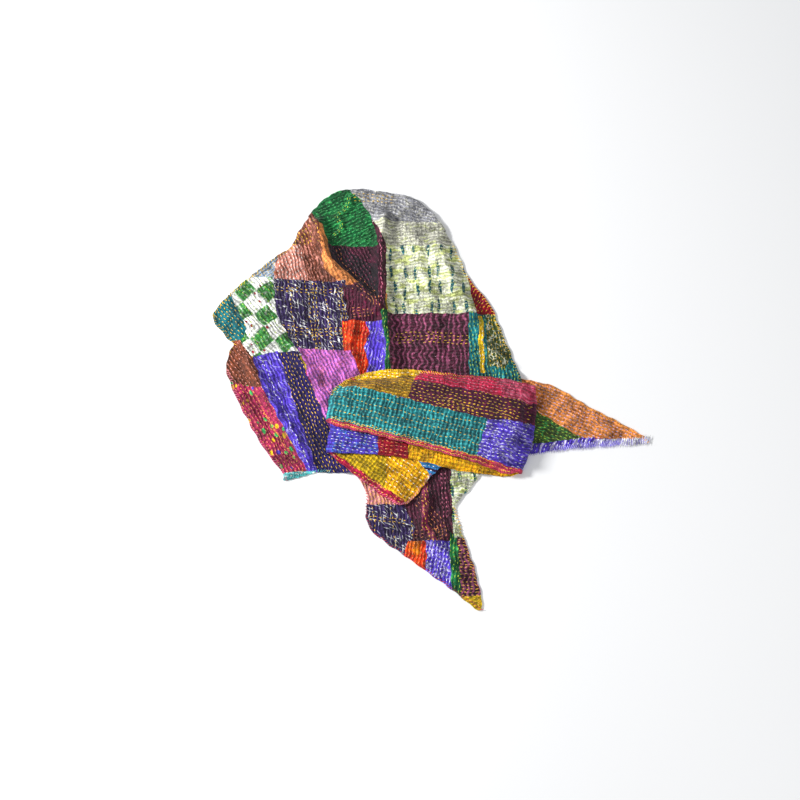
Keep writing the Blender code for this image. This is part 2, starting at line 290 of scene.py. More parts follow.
def crinkle(places):
    """Small uneven puckers: crossed waves of several lengths, each bent by the last."""
    total = np.zeros(len(places))
    bend = np.zeros(len(places))
    for length, turn, share in CRINKLE_WAVES:
        way = ways(turn)[0]
        bend = np.sin(places @ way * 2 * math.pi / length + CRINKLE_BEND * bend)
        total += share * bend
    return CRINKLE_HEIGHT * (1 + np.tanh(CRINKLE_LIMIT * total)) / 2


def height(places, layer):
    """Height of a layer's middle: each layer lies on the one under it."""
    back = CLOTH / 2 + raised(places, "back", RIDGES)
    if layer == "back":
        return back
    on_back = carried(places, "back")
    upper = back + FLOOR_CLEAR + OVER_BACK * on_back + swell(places) * on_back
    upper = upper + raised(places, "upper", RIDGES)
    if layer == "upper":
        return upper
    third = upper + OVER_UPPER * carried(places, "upper")
    if layer == "third":
        return third
    second = third + OVER_THIRD * carried(places, "third")
    if layer == "second":
        return second
    return second + OVER_SECOND * carried(places, "second") + raised(places, "top", RIDGES) + ruffle(places)


WARP_BEND = 40
WARP_WAVES = [(0.019, 0.0006, 15), (0.031, 0.0010, 70), (0.047, 0.0012, 130)]


def warped(plan):
    """The plan, drawn a little out of true, as quilting draws every seam and hem."""
    moved = plan.copy()
    for length, sway, turn in WARP_WAVES:
        way, side = ways(turn)
        moved += sway * np.sin(plan @ way * 2 * math.pi / length + WARP_BEND * plan @ side)[:, None] * side
    return moved


ABOVE = {"back": ["upper", "third", "second", "top"], "upper": ["third", "second", "top"],
         "third": ["second", "top"], "second": ["top"], "top": []}
SHOW_MARGIN = 0.012


def showing(places, layer):
    """1 where nothing lies on the layer, falling to 0 a little way under what does."""
    share = np.ones(len(places))
    for other in ABOVE[layer]:
        cover = depth_in(places, coarse_rims[other])
        share = np.minimum(share, smooth(0.5 - cover / SHOW_MARGIN / 2))
    return share


PLUMP = {"top": 0.0075, "third": 0.003}
PLUMP_DEPTH = 0.050


def surface(places, layer):
    """Height of the dressed sheet's middle, with the creases and puckers where it shows."""
    off = distance(places, coarse_rims[layer], closed=True)
    detail = raised(places, layer, CREASES) + crinkle(places) * smooth(off / DROOP_OUT)
    detail += PLUMP.get(layer, 0.0) * smooth(off / PLUMP_DEPTH)
    return height(places, layer) + detail * showing(places, layer)


# %% [markdown]
# ## The patches
# The patches are cut by eye on a real throw, so each one is a small table row: its layer, its
# corners in centimetres, the cloth's two colours, its thread, its print, and the way its rows of
# stitches run. A later row lies over an earlier one. The seams stay sharp because the points of
# the sheet are moved onto them before it is cut into triangles.

# %% Colours of cloth and thread
INK = {
    "green": (0.006, 0.095, 0.028), "lime": (0.42, 0.62, 0.06), "leaf": (0.07, 0.46, 0.13),
    "moss": (0.055, 0.085, 0.02), "maroon": (0.052, 0.009, 0.022), "wine": (0.19, 0.020, 0.060),
    "black": (0.016, 0.010, 0.016), "brown": (0.15, 0.045, 0.025), "peach": (0.70, 0.30, 0.24),
    "pink": (0.68, 0.20, 0.30), "coral": (0.48, 0.06, 0.11), "mist": (0.24, 0.30, 0.38),
    "white": (0.86, 0.87, 0.82), "cream": (0.76, 0.78, 0.62), "grey": (0.30, 0.30, 0.33),
    "stone": (0.55, 0.54, 0.46), "teal": (0.003, 0.12, 0.14), "sea": (0.09, 0.46, 0.46),
    "navy": (0.030, 0.016, 0.075), "violet": (0.10, 0.062, 0.48), "indigo": (0.020, 0.012, 0.095),
    "orchid": (0.58, 0.17, 0.50), "red": (0.72, 0.060, 0.022), "crimson": (0.33, 0.034, 0.085),
    "rose": (0.42, 0.030, 0.065), "blood": (0.26, 0.010, 0.018), "orange": (0.80, 0.31, 0.115),
    "amber": (0.80, 0.36, 0.015), "gold": (0.84, 0.52, 0.035), "mustard": (0.42, 0.29, 0.02),
    "olive": (0.25, 0.20, 0.02), "rust": (0.30, 0.080, 0.032), "dusk": (0.31, 0.085, 0.16),
    "straw": (0.60, 0.66, 0.26), "deep": (0.02, 0.11, 0.13), "lavender": (0.46, 0.42, 0.72),
    "sky": (0.07, 0.27, 0.60), "ochre": (0.30, 0.155, 0.020), "grass": (0.045, 0.21, 0.045),
    "plum": (0.065, 0.010, 0.032),
}


def opaque(name):
    """The named colour with full alpha."""
    return INK[name] + (1.0,)


# Layer, corners, ground, second colour, thread, print, and the turn of the stitch rows in degrees
PATCHES = [
    ("upper", [(-36, 57), (-11.5, 57), (-12.0, 38.5), (-19, 39), (-28, 39), (-30, 47)],
     "green", "leaf", "leaf", "brushed", 24),
    ("upper", [(-29, 39.4), (-12, 38.8), (-11, 19), (-22, 22), (-26, 33)],
     "maroon", "black", "wine", "brushed", 118),
    # This black patch along the S-shaped fold is painted shade: it darkens the cloth where the fold's shadow
    # falls.
    ("upper", [(-27.3, 39.2), (-22, 38.9), (-17, 35.4), (-12.6, 33.5), (-12, 24), (-16, 27),
        (-24.5, 34)], "black", "maroon", "wine", "brushed", 118),
    ("upper", [(-37, 49), (-30.6, 50), (-27.8, 44), (-27.0, 39.2), (-37, 39)],
     "brown", "peach", "gold", "brushed", 110),
    ("upper", [(-44, 40), (-27, 39.3), (-25.5, 34), (-20.8, 29.3), (-40.5, 30.4)],
     "peach", "rust", "white", "brushed", 105),
    ("upper", [(-33.0, 39.6), (-27, 39.3), (-25.0, 33.5), (-20.6, 29.3), (-30.6, 29.9)],
     "brown", "peach", "peach", "brushed", 108),
    ("upper", [(-28.2, 44.5), (-27.2, 44.5), (-24.8, 35), (-18.0, 29.2), (-19.5, 28.2), (-22, 28.6),
        (-26.6, 33)], "orange", "rust", "orange", "brushed", 115),
    ("upper", [(-14.6, 46.6), (-12.4, 44), (-11.0, 39), (-11.2, 22), (-12.9, 24), (-12.8, 39)],
     "maroon", "wine", "pink", "plain", 92),
    ("upper", [(-49, 37), (-38.8, 37.5), (-39.3, 30.2), (-48, 29)], "mist", "white", "gold", "plain", 40),
    ("upper", [(-54, 31), (-39.6, 31), (-38.5, 21), (-32.2, 10.5), (-35, 6), (-44.5, 10.0), (-48.5, 13),
        (-51, 24)], "white", "grass", "lime", "checked", -52),
    ("upper", [(-57, 27), (-50.2, 26.5), (-46, 17.2), (-48.3, 12.9), (-57, 12)],
     "teal", "maroon", "gold", "plain", -50),
    ("upper", [(-39.6, 30.6), (-21, 29.4), (-19.7, 11.6), (-33.0, 10.6), (-38.6, 21)],
     "navy", "white", "gold", "dashed", 98),
    ("upper", [(-22.0, 28.5), (-11.5, 23.0), (-11.5, 19.3), (-20.4, 19.4)],
     "maroon", "wine", "wine", "brushed", 90),
    ("upper", [(-22, 19.4), (-16, 19.3), (-15.2, 16), (-16.6, 12.6), (-15.4, 9), (-16.4, 4), (-21.4, 5)],
     "red", "coral", "orange", "plain", 82),
    ("upper", [(-16, 19.3), (-10, 19.2), (-9.4, 3), (-16.4, 3), (-15.4, 9), (-16.6, 12.6), (-15.2, 16)],
     "violet", "lavender", "white", "dashed", 80),
    ("upper", [(-12.4, 22), (-9.8, 21.6), (-9.2, 12), (-9.8, 4), (-11.6, 4), (-10.8, 12)],
     "green", "leaf", "lime", "plain", 85),
    ("upper", [(-33.0, 12.2), (-20, 11.6), (-17.6, 6), (-17, -3), (-25, -9)],
     "orchid", "pink", "violet", "plain", -62),
    ("upper", [(-20.6, 57), (8, 57), (8, 45.2), (-14.2, 45.9), (-17.4, 51.2), (-20.4, 54.0)],
     "grey", "stone", "stone", "brushed", -14),
    ("upper", [(-14.2, 45.9), (10, 45.2), (10, 39.3), (-11.2, 39.3), (-12.6, 43)],
     "stone", "straw", "cream", "brushed", 2),
    ("upper", [(-11.2, 39.3), (10, 39.3), (13, 30), (11.7, 21.3), (-10.8, 21.0)],
     "cream", "deep", "straw", "marked", 2),
    ("upper", [(-10.8, 21.3), (11.7, 21.3), (12, 3), (-9.6, 3)], "maroon", "dusk", "maroon", "waved", 0),
    ("upper", [(-10.4, 16.6), (12.2, 16.2), (12.2, 13.2), (-10.2, 13.6)],
     "maroon", "dusk", "gold", "waved", 0),
    ("upper", [(9, 34), (18, 31), (17.6, 21.3), (11.6, 21.3)], "blood", "crimson", "gold", "plain", 60),
    ("upper", [(9.8, 21.3), (20, 21.3), (28, 6), (25, 0), (9.8, 0)], "teal", "sea", "lime", "brushed", 98),
    ("upper", [(12.2, 20.8), (13.3, 20.8), (13.8, 6), (12.6, 6)], "gold", "lime", "white", "plain", 92),
    ("upper", [(14, 21.3), (18.2, 21.3), (21.0, 12), (18.6, 6.8), (14.4, 8)],
     "moss", "cream", "gold", "crackled", 100),
    ("upper", [(-54, 15), (-47.5, 14.2), (-44.5, 9.6), (-41.4, 1.6), (-52, 3.4)],
     "brown", "rust", "peach", "brushed", -58),
    ("upper", [(-53, 4.8), (-41.6, 1.7), (-29.3, -19.2), (-29, -24), (-41, -24)],
     "crimson", "rose", "orange", "blotted", -60),
    ("upper", [(-44.5, 9.9), (-38.2, 11.6), (-26.8, -21), (-29.4, -21), (-41.8, 1.6)],
     "violet", "lavender", "white", "dashed", -66),
    ("upper", [(-38.2, 11.4), (-33.0, 11), (-25, -8.4), (-17, -9.5), (-17, -23), (-26.8, -23)],
     "indigo", "navy", "gold", "brushed", -66),
    ("upper", [(-41, -19.6), (-28.4, -19.0), (-28, -23), (-41, -24)],
     "sea", "white", "white", "brushed", -8),
    ("back", [(-8, -16), (5.6, -16), (5.4, -36.8), (-6, -36.8)], "maroon", "black", "wine", "brushed", 100),
    ("back", [(-18, -21), (-6.4, -21), (-6.8, -27.4), (-18, -28)],
     "peach", "orchid", "gold", "brushed", 100),
    ("back", [(-20, -27.6), (-6.8, -27.4), (-3.8, -33), (-4.6, -36.8), (-5.6, -45), (-20, -40)],
     "navy", "white", "gold", "dashed", 98),
    ("back", [(-1.8, -20), (-0.4, -20), (-0.8, -32.6), (4.4, -40), (3, -40.6), (-2.2, -33)],
     "wine", "pink", "gold", "plain", 100),
    ("back", [(-5.6, -36.8), (-1.4, -36.8), (-0.8, -40), (-1.8, -50), (-8, -46)],
     "red", "amber", "orange", "plain", 82),
    ("back", [(-1.4, -36.8), (5.4, -36.8), (6, -53), (-3, -53), (-1.8, -46), (-0.8, -40)],
     "violet", "lavender", "white", "crackled", 80),
    ("back", [(4.6, -34.5), (6.6, -35.6), (7.6, -50.2), (5.4, -50.2), (4.8, -42)],
     "green", "leaf", "lime", "plain", 85),
    ("back", [(4.9, -16), (14.5, -16), (12, -35.8), (5.6, -35.8)], "cream", "deep", "lime", "marked", 4),
    ("back", [(6.6, -35.7), (12.5, -35.7), (14, -50.4), (7.4, -50.4)],
     "maroon", "dusk", "gold", "waved", 2),
    ("back", [(2, -50.3), (15, -50.3), (15, -56), (2, -56)], "mustard", "gold", "gold", "brushed", 20),
    ("back", [(17, 9), (59, 9), (59, -11.0), (37.6, -10.6), (24.4, -2.4), (17, -2.4)],
     "orange", "rust", "lavender", "brushed", -24),
    ("back", [(17, -2.4), (24.4, -2.4), (37.6, -10.6), (37, -12.1), (17, -13.8)],
     "moss", "leaf", "lime", "brushed", -20),
    ("back", [(17, -13.2), (37, -10.8), (41, -10.3), (41, -14), (17, -18)],
     "violet", "lavender", "white", "striped", 66),
    ("back", [(40.8, -10.9), (59, -10.6), (59, -14), (40.8, -14)],
     "lavender", "white", "white", "striped", 60),
    ("top", [(-20, 8), (-0.8, 8), (-1, 5), (-18.5, 3.7)], "gold", "amber", "white", "brushed", -6),
    ("top", [(-29, 5), (-18.5, 3.7), (-1, 5), (-5, -1.9), (-22.8, 2.5)],
     "ochre", "olive", "gold", "brushed", -12),
    ("top", [(-1, 8), (18, 8), (18, -1), (-4, 3.4)], "rose", "coral", "pink", "brushed", -13),
    ("top", [(17.6, 9), (29, 9), (29, -3.6), (17.6, -1.1)], "coral", "pink", "pink", "brushed", -13),
    ("top", [(-4, 3.4), (17.6, -1.1), (29, -3.4), (29, -8.2), (14.3, -7), (-5.6, -1.9)],
     "plum", "wine", "gold", "brushed", -14),
    ("top", [(-29, 4.2), (-22.8, 2.5), (14.3, -7), (11.3, -16), (-29, -5.5)],
     "teal", "sea", "gold", "ribbed", -14),
    ("top", [(14.3, -7), (29, -7.8), (29, -20), (22, -18.9), (11.3, -16)],
     "violet", "lavender", "white", "brushed", -14),
    ("top", [(-29, -5.5), (11.3, -16), (23, -19.1), (23, -23), (-29, -10)],
     "coral", "red", "gold", "plain", -15),
    ("second", [(-28, 5), (-13, 5), (-13, -18), (-28, -18)], "violet", "sky", "white", "brushed", -10),
    ("second", [(-13, 5), (-5.4, 5), (-5.4, -18), (-13, -18)],
     "blood", "crimson", "orange", "brushed", -10),
    ("second", [(-5.4, 5), (30, 5), (30, -24), (-5.4, -24)], "amber", "gold", "gold", "ribbed", -12),
    ("third", [(-30, 5), (-11, 5), (-11, -28), (-30, -28)], "mustard", "gold", "gold", "ribbed", -36),
    ("third", [(-11, 5), (-3.8, 5), (-3.4, -16), (0.8, -19), (-6.6, -30), (-11, -28)],
     "amber", "gold", "white", "ribbed", -36),
    ("third", [(-3.8, 5), (25, 5), (25, -20), (0.4, -21), (-3.4, -16)],
     "sky", "navy", "white", "striped", -10),
    ("third", [(-28, -16), (-25.6, -13.6), (-6.6, -26.4), (-6.4, -30), (-12, -30)],
     "rose", "pink", "gold", "plain", -34),
]
PRINTS = ["plain", "brushed", "dashed", "checked", "crackled", "marked", "waved", "striped", "blotted",
          "ribbed"]
print(len(PATCHES), "patches in", len(PRINTS), "prints")

# %% [markdown]
# Where no named patch shows, under the layers and on the far side, the throw is pieced in plain
# rectangles. A loop lays them out, and takes their colours in turn from the same cloths.

# %% Ground patches
GROUND_CELL = (15.5, 12.5)
GROUND_INKS = ["teal", "wine", "mustard", "violet", "leaf", "rose", "brown", "orange", "navy", "cream",
               "maroon"]


def ground_patches():
    """Plain rectangles under every layer's own patches."""
    found = []
    for layer, _ in LAYERS:
        for column in range(-4, 4):
            for row in range(-5, 5):
                x = column * GROUND_CELL[0] + (row % 2) * 3.0
                y = row * GROUND_CELL[1]
                corners = [(x, y), (x + GROUND_CELL[0] + 3, y), (x + GROUND_CELL[0] + 3, y + GROUND_CELL[1]),
                           (x, y + GROUND_CELL[1])]
                pick = (3 * column + 5 * row) % len(GROUND_INKS)
                found.append((layer, corners, GROUND_INKS[pick], GROUND_INKS[pick - 4], "gold", "plain", 90))
    return found


ALL_PATCHES = ground_patches() + PATCHES
OUTLINES = [np.array(patch[1], float) * CM for patch in ALL_PATCHES]
NAMED_FROM = len(ALL_PATCHES) - len(PATCHES)


def patch_at(places, layer):
    """Number of the patch that shows at each place of a layer."""
    chosen = np.zeros(len(places), int)
    for number, patch in enumerate(ALL_PATCHES):
        if patch[0] == layer:
            chosen[inside(places, OUTLINES[number])] = number
    return chosen


# %% [markdown]
# ## The fine sheet
# Each layer gets an even grid of points, close together where it shows and wide apart where it
# doesn't. Points near a seam are moved onto it. A Delaunay triangulation then joins them, with
# the rim kept as it is, so that neighbouring layers still meet point for point at their fold.


# %% Points of one layer
def grid(rim, spacing):
    """Points of a triangular grid that lie well inside the rim."""
    low = rim.min(axis=0)
    high = rim.max(axis=0)
    row_gap = spacing * math.sqrt(3) / 2
    found = []
    for row, y in enumerate(np.arange(low[1], high[1], row_gap)):
        xs = np.arange(low[0] + (row % 2) * spacing / 2, high[0], spacing)
        found.append(np.column_stack([xs, np.full(len(xs), y)]))
    found = np.vstack(found)
    found = found[inside(found, rim)]
    return found[distance(found, rim, closed=True) > 0.6 * min(spacing, FINE)]


def onto_seams(places, layer, reach):
    """Moves the places near a seam onto the nearest point of it."""
    moved = places.copy()
    nearest = np.full(len(places), reach)
    for number in range(NAMED_FROM, len(ALL_PATCHES)):
        if ALL_PATCHES[number][0] != layer:
            continue
        outline = OUTLINES[number]
        for a, b in zip(outline, np.roll(outline, -1, axis=0)):
            along = b - a
            share = np.clip((places - a) @ along / float(along @ along), 0, 1)
            spot = a + share[:, None] * along
            off = np.linalg.norm(places - spot, axis=1)
            closer = off < nearest
            moved[closer] = spot[closer]
            nearest[closer] = off[closer]
    return moved


def layer_mesh(layer, rim):
    """Plan points and triangles of one layer, with the rim's points first."""
    fine = grid(rim, FINE)
    wide = grid(rim, HIDDEN)
    fine = fine[showing(fine, layer) > 0]
    wide = wide[showing(wide, layer) == 0]
    fine = onto_seams(fine, layer, 0.5 * FINE)
    fine = fine[distance(fine, rim, closed=True) > 0.3 * FINE]
    places = np.vstack([rim, fine, wide])
    loop = [(i, (i + 1) % len(rim)) for i in range(len(rim))]
    made = geometry.delaunay_2d_cdt([tuple(p) for p in places], loop, [], 1, 1e-6)
    plan = np.array([tuple(v) for v in made[0]])
    number = {source: i for i, sources in enumerate(made[3]) for source in sources}
    return plan, [tuple(face) for face in made[2]], number


# %% The whole sheet
def outward(points, rim):
    """Level directions that point out of the layer along a fold."""
    along = np.gradient(points, axis=0)
    across = np.stack([along[:, 1], -along[:, 0]], axis=1)
    across /= np.linalg.norm(across, axis=1)[:, None]
    middle = len(points) // 2
    probe = points[middle:middle + 1] + across[middle:middle + 1] * FINE / 4
    return -across if inside(probe, rim)[0] else across


def sheet_parts():
    """Points, faces, each face's patch, and each face corner's place in the flat plan."""
    rims = {}
    folds = {}
    for name, runs in LAYERS:
        rims[name], folds[name] = rim_of(runs, FINE)
    points = []
    faces = []
    patches = []
    first = {}
    for name, _ in LAYERS:
        plan, triangles, number = layer_mesh(name, rims[name])
        first[name] = {i: len(points) + number[i] for i in range(len(rims[name]))}
        middles = plan[np.array(triangles)].mean(axis=1)
        patches.extend(patch_at(middles, name))
        faces.extend(tuple(len(points) + i for i in face) for face in triangles)
        points.extend(np.column_stack([plan, surface(plan, name)]))
        print(name, len(triangles), "triangles")
    for fold, lower, upper in JOINS:
        low_row = [first[lower][i] for i in folds[lower][fold]]
        high_row = [first[upper][i] for i in folds[upper][fold]]
        plan = rims[lower][folds[lower][fold]]
        out = outward(plan, rims[lower])
        middles = (plan[1:] + plan[:-1]) / 2 - (out[1:] + out[:-1]) / 2 * FINE / 2
        own = patch_at(middles, upper)
        rows = [low_row]
        for k in range(1, FOLD_STEPS):
            turn = math.pi * k / FOLD_STEPS
            row = []
            for i, (a, b) in enumerate(zip(low_row, high_row)):
                low, high = points[a][2], points[b][2]
                radius = (high - low) / 2
                place = plan[i] + out[i] * radius * math.sin(turn)
                row.append(len(points))
                points.append(np.array([place[0], place[1], low + radius * (1 - math.cos(turn))]))
            rows.append(row)
        rows.append(high_row)
        for one, two in zip(rows, rows[1:]):
            for i in range(len(one) - 1):
                faces.append((one[i], one[i + 1], two[i + 1], two[i]))
                patches.append(own[i])
    return np.array(points), faces, np.array(patches)


points, faces, face_patches = sheet_parts()
print(len(points), "points,", len(faces), "faces in the middle surface")

# %% Place in the frame
cad_low = Vector(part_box("quilted_throw")[0])
shift = np.array([cad_low.x - points[:, 0].min(), cad_low.y - points[:, 1].min()])
print("shift", shift)

# %% [markdown]
# The middle surface becomes a mesh. Its colours are written on the face corners, so one cloth
# material serves many patches, and each print is a material of its own. The UV map runs along
# the rows of stitches, in metres. Solidify then gives the cloth its thickness.


# %% Make the cloth
def linked(name, data):
    """A new object in the scene."""
    made = bpy.data.objects.new(name, data)
    bpy.context.collection.objects.link(made)
    return made


def paint(mesh, name, inks):
    """Writes one colour on each face corner."""
    layer = mesh.attributes.new(name, "FLOAT_COLOR", "CORNER")
    layer.data.foreach_set("color", inks.astype(np.float32).ravel())


def make_cloth():
    """The middle surface as a mesh, with its patches and rows written on it."""
    mesh = bpy.data.meshes.new("quilted_cloth")
    placed = np.column_stack([warped(points[:, :2]) + shift, points[:, 2]])
    mesh.from_pydata([tuple(p) for p in placed], [], faces)
    cloth = linked("quilted_cloth", mesh)
    loops = len(mesh.loops)
    spots = np.empty(loops, int)
    mesh.loops.foreach_get("vertex_index", spots)
    totals = np.array([len(face) for face in faces])
    patch_of_loop = np.repeat(face_patches, totals)
    turns = np.radians(np.array([patch[6] for patch in ALL_PATCHES], float))[patch_of_loop]
    plan = points[spots][:, :2]
    along = plan[:, 0] * np.cos(turns) + plan[:, 1] * np.sin(turns)
    across = -plan[:, 0] * np.sin(turns) + plan[:, 1] * np.cos(turns)
    rows = mesh.uv_layers.new(name="rows")
    rows.data.foreach_set("uv", np.column_stack([along, across]).astype(np.float32).ravel())
    for name, column in (("ground", 2), ("second", 3)):
        inks = np.array([opaque(patch[column]) for patch in ALL_PATCHES])
        paint(mesh, name, inks[patch_of_loop])
    kinds = np.array([PRINTS.index(patch[5]) for patch in ALL_PATCHES])
    for kind in PRINTS:
        mesh.materials.append(cloth_material(kind))
    mesh.polygons.foreach_set("material_index", kinds[face_patches].astype(np.int32))
    return cloth


# %% [markdown]
# ## Materials
# Three effects are shared by all the prints, so each is a node group: the slow mottling of worn
# dye, with painted shade in the quilting's hollows and painted light on its ridges, the plain
# weave, and the quilting, which lifts the cloth between its rows of stitches and pulls it into
# short puckers across them. Each print then adds its own mask between its two colours.


# %% Node helpers
def new_group(name, inputs, outputs):
    """An empty node group with named number, vector or colour sockets."""
    group = bpy.data.node_groups.new(name, "ShaderNodeTree")
    for label, kind, value in inputs:
        socket = group.interface.new_socket(label, in_out="INPUT", socket_type=kind)
        if value is not None:
            socket.default_value = value
    for label, kind in outputs:
        group.interface.new_socket(label, in_out="OUTPUT", socket_type=kind)
    return group, group.nodes.new("NodeGroupInput"), group.nodes.new("NodeGroupOutput")


def math_node(tree, operation, first, second=None, third=None):
    """A Math node fed by sockets or plain numbers."""
    node = tree.nodes.new("ShaderNodeMath")
    node.operation = operation
    for socket, value in zip(node.inputs, (first, second, third)):
        if value is None:
            continue
        if isinstance(value, (int, float)):
            socket.default_value = value
        else:
            tree.links.new(value, socket)
    return node.outputs[0]


def stretched(tree, vector, scale):
    """The vector times a fixed scale on each axis."""
    node = tree.nodes.new("ShaderNodeVectorMath")
    node.operation = "MULTIPLY"
    tree.links.new(vector, node.inputs[0])
    node.inputs[1].default_value = scale
    return node.outputs[0]


def noise(tree, vector, scale, detail=2.0, rough=0.5):
    node = tree.nodes.new("ShaderNodeTexNoise")
    node.inputs["Scale"].default_value = scale
    node.inputs["Detail"].default_value = detail
    node.inputs["Roughness"].default_value = rough
    tree.links.new(vector, node.inputs["Vector"])
    return node.outputs[0]


def ramp(tree, value, low, high):
    """0 below low and 1 above high, with a smooth step between."""
    node = tree.nodes.new("ShaderNodeMapRange")
    node.interpolation_type = "SMOOTHSTEP"
    node.inputs["From Min"].default_value = low
    node.inputs["From Max"].default_value = high
    tree.links.new(value, node.inputs["Value"])
    return node.outputs[0]


def blended(tree, mask, first, second):
    """The first colour, with the second one over it where the mask is 1."""
    node = tree.nodes.new("ShaderNodeMix")
    node.data_type = "RGBA"
    tree.links.new(mask, node.inputs["Factor"])
    tree.links.new(first, node.inputs["A"])
    if isinstance(second, tuple):
        node.inputs["B"].default_value = second
    else:
        tree.links.new(second, node.inputs["B"])
    return node.outputs["Result"]


def turned(tree, vector, degrees):
    """The vector turned about Z."""
    node = tree.nodes.new("ShaderNodeVectorRotate")
    node.rotation_type = "Z_AXIS"
    node.inputs["Angle"].default_value = math.radians(degrees)
    tree.links.new(vector, node.inputs["Vector"])
    return node.outputs[0]


def split(tree, vector):
    node = tree.nodes.new("ShaderNodeSeparateXYZ")
    tree.links.new(vector, node.inputs[0])
    return node.outputs[0], node.outputs[1]


def sine(tree, value, repeat):
    """A sine wave that repeats after so many metres."""
    return math_node(tree, "SINE", math_node(tree, "MULTIPLY", value, 2 * math.pi / repeat))


def inverse(tree, mask):
    return math_node(tree, "SUBTRACT", 1.0, mask)


def group_node(tree, name, **fed):
    """A shared effect, with its sockets fed by links or plain numbers."""
    node = tree.nodes.new("ShaderNodeGroup")
    node.node_tree = GROUPS[name]
    for label, value in fed.items():
        if isinstance(value, (int, float)):
            node.inputs[label].default_value = value
        else:
            tree.links.new(value, node.inputs[label])
    return node


def new_material(name, settings):
    """A material, its nodes, and its shader with the given plain values."""
    material = bpy.data.materials.new(name)
    material.use_nodes = True
    shader = material.node_tree.nodes["Principled BSDF"]
    for label, value in settings.items():
        shader.inputs[label].default_value = value
    return material, material.node_tree, shader


# %% Shared effects
ROW_PITCH = 0.0088
PUCKER_LENGTH = 0.0062
WEAVE_COUNT = 2 * math.pi / 0.0018


def quilting_group():
    """Height of the ridges between rows of stitches, broken into puckers."""
    group, ins, outs = new_group("quilting", [("Rows", "NodeSocketVector", None),
                                              ("Pitch", "NodeSocketFloat", ROW_PITCH)],
                                 [("Height", "NodeSocketFloat"), ("Valley", "NodeSocketFloat")])
    across = split(group, ins.outputs["Rows"])[1]
    wander = noise(group, ins.outputs["Rows"], 38.0, 1.0)
    bent = math_node(group, "MULTIPLY_ADD", wander, 0.011, across)
    turn = math_node(group, "MULTIPLY", math_node(group, "DIVIDE", bent, ins.outputs["Pitch"]), 2 * math.pi)
    ridge = math_node(group, "MULTIPLY_ADD", math_node(group, "COSINE", turn), 0.5, 0.5)
    drawn = stretched(group, ins.outputs["Rows"], (1 / PUCKER_LENGTH, 0.4 / ROW_PITCH, 1.0))
    puckers = noise(group, drawn, 1.0, 2.0)
    height = math_node(group, "MULTIPLY", ridge, math_node(group, "MULTIPLY_ADD", puckers, 1.3, 0.05))
    lumps = math_node(group, "MULTIPLY_ADD", puckers, 1.1, height)
    group.links.new(lumps, outs.inputs["Height"])
    # The Valley mask is low in the hollows and high on the ridges and puckers; the dye uses it for painted
    # shade and light.
    group.links.new(ramp(group, lumps, 0.42, 1.05), outs.inputs["Valley"])
    return group


def weave_group():
    """A fine plain weave as a height."""
    group, ins, outs = new_group("weave", [("Rows", "NodeSocketVector", None),
                                           ("Count", "NodeSocketFloat", WEAVE_COUNT)],
                                 [("Height", "NodeSocketFloat")])
    along, across = split(group, ins.outputs["Rows"])
    warp = math_node(group, "SINE", math_node(group, "MULTIPLY", along, ins.outputs["Count"]))
    weft = math_node(group, "SINE", math_node(group, "MULTIPLY", across, ins.outputs["Count"]))
    group.links.new(math_node(group, "MULTIPLY_ADD", math_node(group, "MULTIPLY", warp, weft), 0.5, 0.5),
                    outs.inputs["Height"])
    return group


def mottle_and_valley_shade_group():
    """Uneven dye, slow patches and fine flecks of light and dark, with painted shade in the quilting's
    hollows and painted light on its ridges.
    """
    group, ins, outs = new_group("mottle_and_valley_shade", [("Color", "NodeSocketColor", (0.5, 0.5, 0.5, 1.0)),
                                              ("Place", "NodeSocketVector", None),
                                              ("Valley", "NodeSocketFloat", 1.0)],
                                 [("Color", "NodeSocketColor")])
    slow = ramp(group, noise(group, ins.outputs["Place"], 34.0, 5.0, 0.65), 0.34, 0.66)
    flecks = noise(group, ins.outputs["Place"], 330.0, 2.0)
    tone = math_node(group, "MULTIPLY_ADD", slow, 0.95, math_node(group, "MULTIPLY_ADD", flecks, 1.4, -0.17))
    # Painted shade and light: the Valley mask darkens the colour in the quilting's hollows and lightens it on
    # the ridges.
    valley_shade = math_node(group, "MULTIPLY_ADD", ins.outputs["Valley"], 0.66, 0.56)
    shade = math_node(group, "MULTIPLY", tone, valley_shade)
    node = group.nodes.new("ShaderNodeHueSaturation")
    group.links.new(shade, node.inputs["Value"])
    node.inputs["Saturation"].default_value = 1.06
    group.links.new(ins.outputs["Color"], node.inputs["Color"])
    group.links.new(node.outputs[0], outs.inputs["Color"])
    return group


GROUPS = {"quilting": quilting_group(), "weave": weave_group(), "mottle_and_valley_shade": mottle_and_valley_shade_group()}
print("groups", list(GROUPS))


# %% Masks of the prints
DASH_SLANTS = (-58, -28, 12)
CHECK_REPEAT = 0.088
CRACKLE_SCALE = 110.0
MARK_CELLS = (34, 19, 1)
SWAY_REPEAT = 0.032
WAVE_REPEAT = 0.014
STRIPE_REPEAT = 0.024
BLOT_CELLS = (40, 64, 1)
RIB_REPEAT = 0.010


def brushed_mask(tree, rows):
    """Long soft strokes along the rows."""
    strokes = ramp(tree, noise(tree, stretched(tree, rows, (60, 240, 1)), 1.0, 3.0, 0.6), 0.46, 0.66)
    clouds = ramp(tree, noise(tree, rows, 42.0, 3.0, 0.6), 0.40, 0.60)
    return math_node(tree, "MULTIPLY", strokes, math_node(tree, "MULTIPLY_ADD", clouds, 0.94, 0.06))


def dashed_mask(tree, rows):
    """Long thin brush strokes that cross at several slants."""
    strokes = None
    for slant in DASH_SLANTS:
        way = turned(tree, rows, slant)
        some = ramp(tree, noise(tree, stretched(tree, way, (34, 330, 1)), 1.0, 0.5), 0.665, 0.72)
        strokes = some if strokes is None else math_node(tree, "MAXIMUM", strokes, some)
    return math_node(tree, "MULTIPLY", strokes, 0.8)


